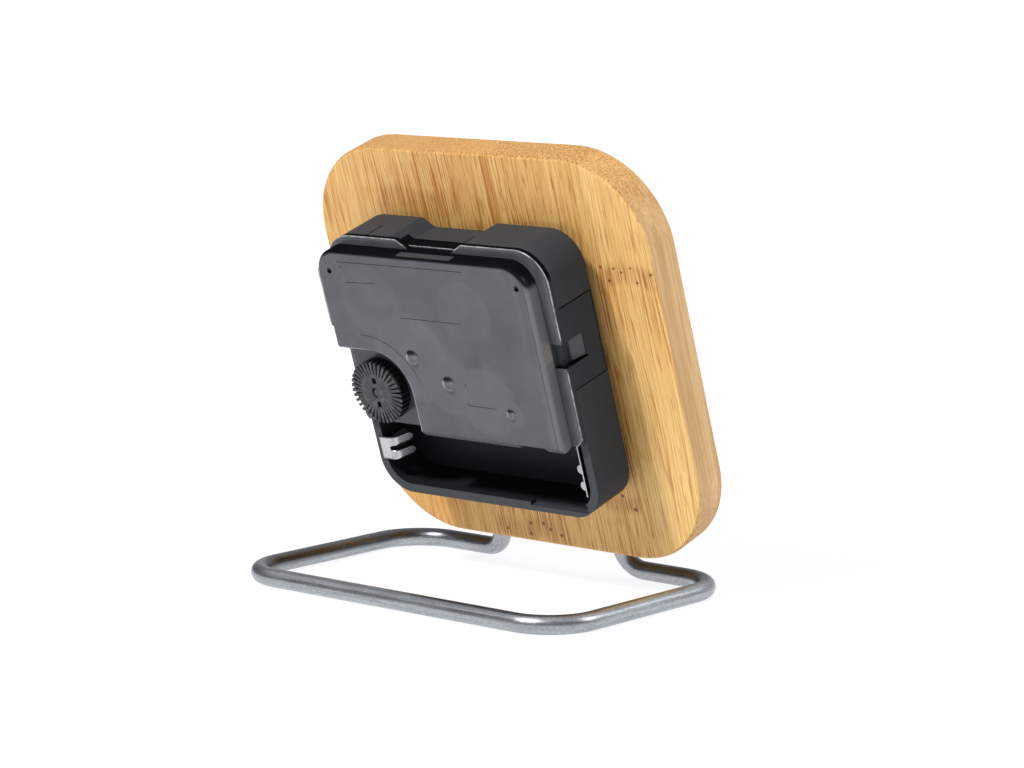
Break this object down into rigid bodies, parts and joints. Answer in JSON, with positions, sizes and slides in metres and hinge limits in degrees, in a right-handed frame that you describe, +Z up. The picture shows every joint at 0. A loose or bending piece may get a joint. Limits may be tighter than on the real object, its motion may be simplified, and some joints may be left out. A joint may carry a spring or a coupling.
{
  "type": "desk clock",
  "caption": "Square bamboo desk clock leaning back on a bent wire stand, with a quartz movement, battery bay and setting knob behind and three hands in front.",
  "frame": {"origin": "on the table, under the middle of the clock's box", "axes": "+Z up, +Y to the back where the movement is, the hands face -Y, +X to the left of someone behind the clock"},
  "size_m": [0.0856, 0.0552, 0.0875],
  "materials": {
    "bamboo": "clear satin lacquer",
    "stand_steel": "satin drawn wire",
    "gasket_rubber": "matte",
    "case_plastic": "fine matte",
    "lid_plastic": "smoky gloss",
    "bush_brass": "turned",
    "nut_steel": "plated",
    "contact_steel": "bright plated sheet",
    "gear_plastic": "moulded",
    "knob_plastic": "moulded",
    "plate_plastic": "moulded",
    "arbor_steel": "ground",
    "magnet": "dull grey",
    "stator_steel": "stamped",
    "bobbin_plastic": "moulded",
    "copper": "enamelled copper wire",
    "board": "bare laminate",
    "chip_resin": "resin drop",
    "crystal_can": "bright can",
    "hand_metal": "black anodised"
  },
  "bodies": {
    "clock": {"bamboo_plate": "bamboo", "wire_stand": "stand_steel", "rubber_gasket": "gasket_rubber", "movement_case": "case_plastic", "movement_lid": "lid_plastic", "threaded_bush": "bush_brass", "washer": "nut_steel", "hex_nut": "bush_brass", "negative_contact": "contact_steel", "positive_contact": "contact_steel", "train_plate": "plate_plastic", "stator": "stator_steel", "coil_core": "stator_steel", "coil_bobbin": "bobbin_plastic", "coil_winding": "copper", "circuit_board": "board", "clock_chip": "chip_resin", "quartz_crystal": "crystal_can"},
    "minutes": {"minute_pipe": "gear_plastic", "minute_hand": "hand_metal"},
    "hours": {"hour_wheel": "gear_plastic", "hour_hand": "hand_metal"},
    "minute_reduction": {"minute_wheel": "gear_plastic"},
    "knob": {"setting_knob": "knob_plastic", "setting_gear": "gear_plastic"},
    "seconds": {"second_wheel": "gear_plastic", "second_arbor": "arbor_steel", "second_hand": "hand_metal"},
    "third": {"third_wheel": "gear_plastic"},
    "centre": {"centre_wheel": "gear_plastic"},
    "intermediate": {"intermediate_wheel": "gear_plastic"},
    "rotor": {"rotor_pinion": "gear_plastic", "rotor_magnet": "magnet"}
  },
  "joints": [
    {"name": "minute_spin", "type": "hinge", "parent": "clock", "child": "minutes", "pos_m": [0, -0.00745, 0.04648], "axis": [0, 0.9521, -0.3057], "continuous": true},
    {"name": "hour_spin", "type": "hinge", "parent": "clock", "child": "hours", "pos_m": [0, -0.00745, 0.04648], "axis": [0, 0.9521, -0.3057], "continuous": true},
    {"name": "minute_wheel_spin", "type": "hinge", "parent": "clock", "child": "minute_reduction", "pos_m": [0.00946, -0.00805, 0.04464], "axis": [0, 0.9521, -0.3057], "continuous": true},
    {"name": "knob_spin", "type": "hinge", "parent": "clock", "child": "knob", "pos_m": [0.0205, -0.00874, 0.04249], "axis": [0, 0.9521, -0.3057], "continuous": true},
    {"name": "second_spin", "type": "hinge", "parent": "clock", "child": "seconds", "pos_m": [0, -0.00745, 0.04648], "axis": [0, 0.9521, -0.3057], "continuous": true},
    {"name": "third_spin", "type": "hinge", "parent": "clock", "child": "third", "pos_m": [0.00809, -0.00599, 0.05104], "axis": [0, 0.9521, -0.3057], "continuous": true},
    {"name": "centre_spin", "type": "hinge", "parent": "clock", "child": "centre", "pos_m": [0, -0.00745, 0.04648], "axis": [0, 0.9521, -0.3057], "continuous": true},
    {"name": "intermediate_spin", "type": "hinge", "parent": "clock", "child": "intermediate", "pos_m": [-0.00899, -0.00838, 0.04359], "axis": [0, 0.9521, -0.3057], "continuous": true},
    {"name": "rotor_spin", "type": "hinge", "parent": "clock", "child": "rotor", "pos_m": [-0.0145, -0.00895, 0.04182], "axis": [0, 0.9521, -0.3057], "continuous": true}
  ],
  "couplings": [
    {"joint": "minute_wheel_spin", "follows": "minute_spin", "ratio": -0.33333},
    {"joint": "knob_spin", "follows": "minute_spin", "ratio": 0.6},
    {"joint": "hour_spin", "follows": "minute_spin", "ratio": 0.083333},
    {"joint": "third_spin", "follows": "second_spin", "ratio": -0.13333},
    {"joint": "centre_spin", "follows": "second_spin", "ratio": 0.016667},
    {"joint": "intermediate_spin", "follows": "second_spin", "ratio": -5},
    {"joint": "rotor_spin", "follows": "second_spin", "ratio": 30}
  ]
}
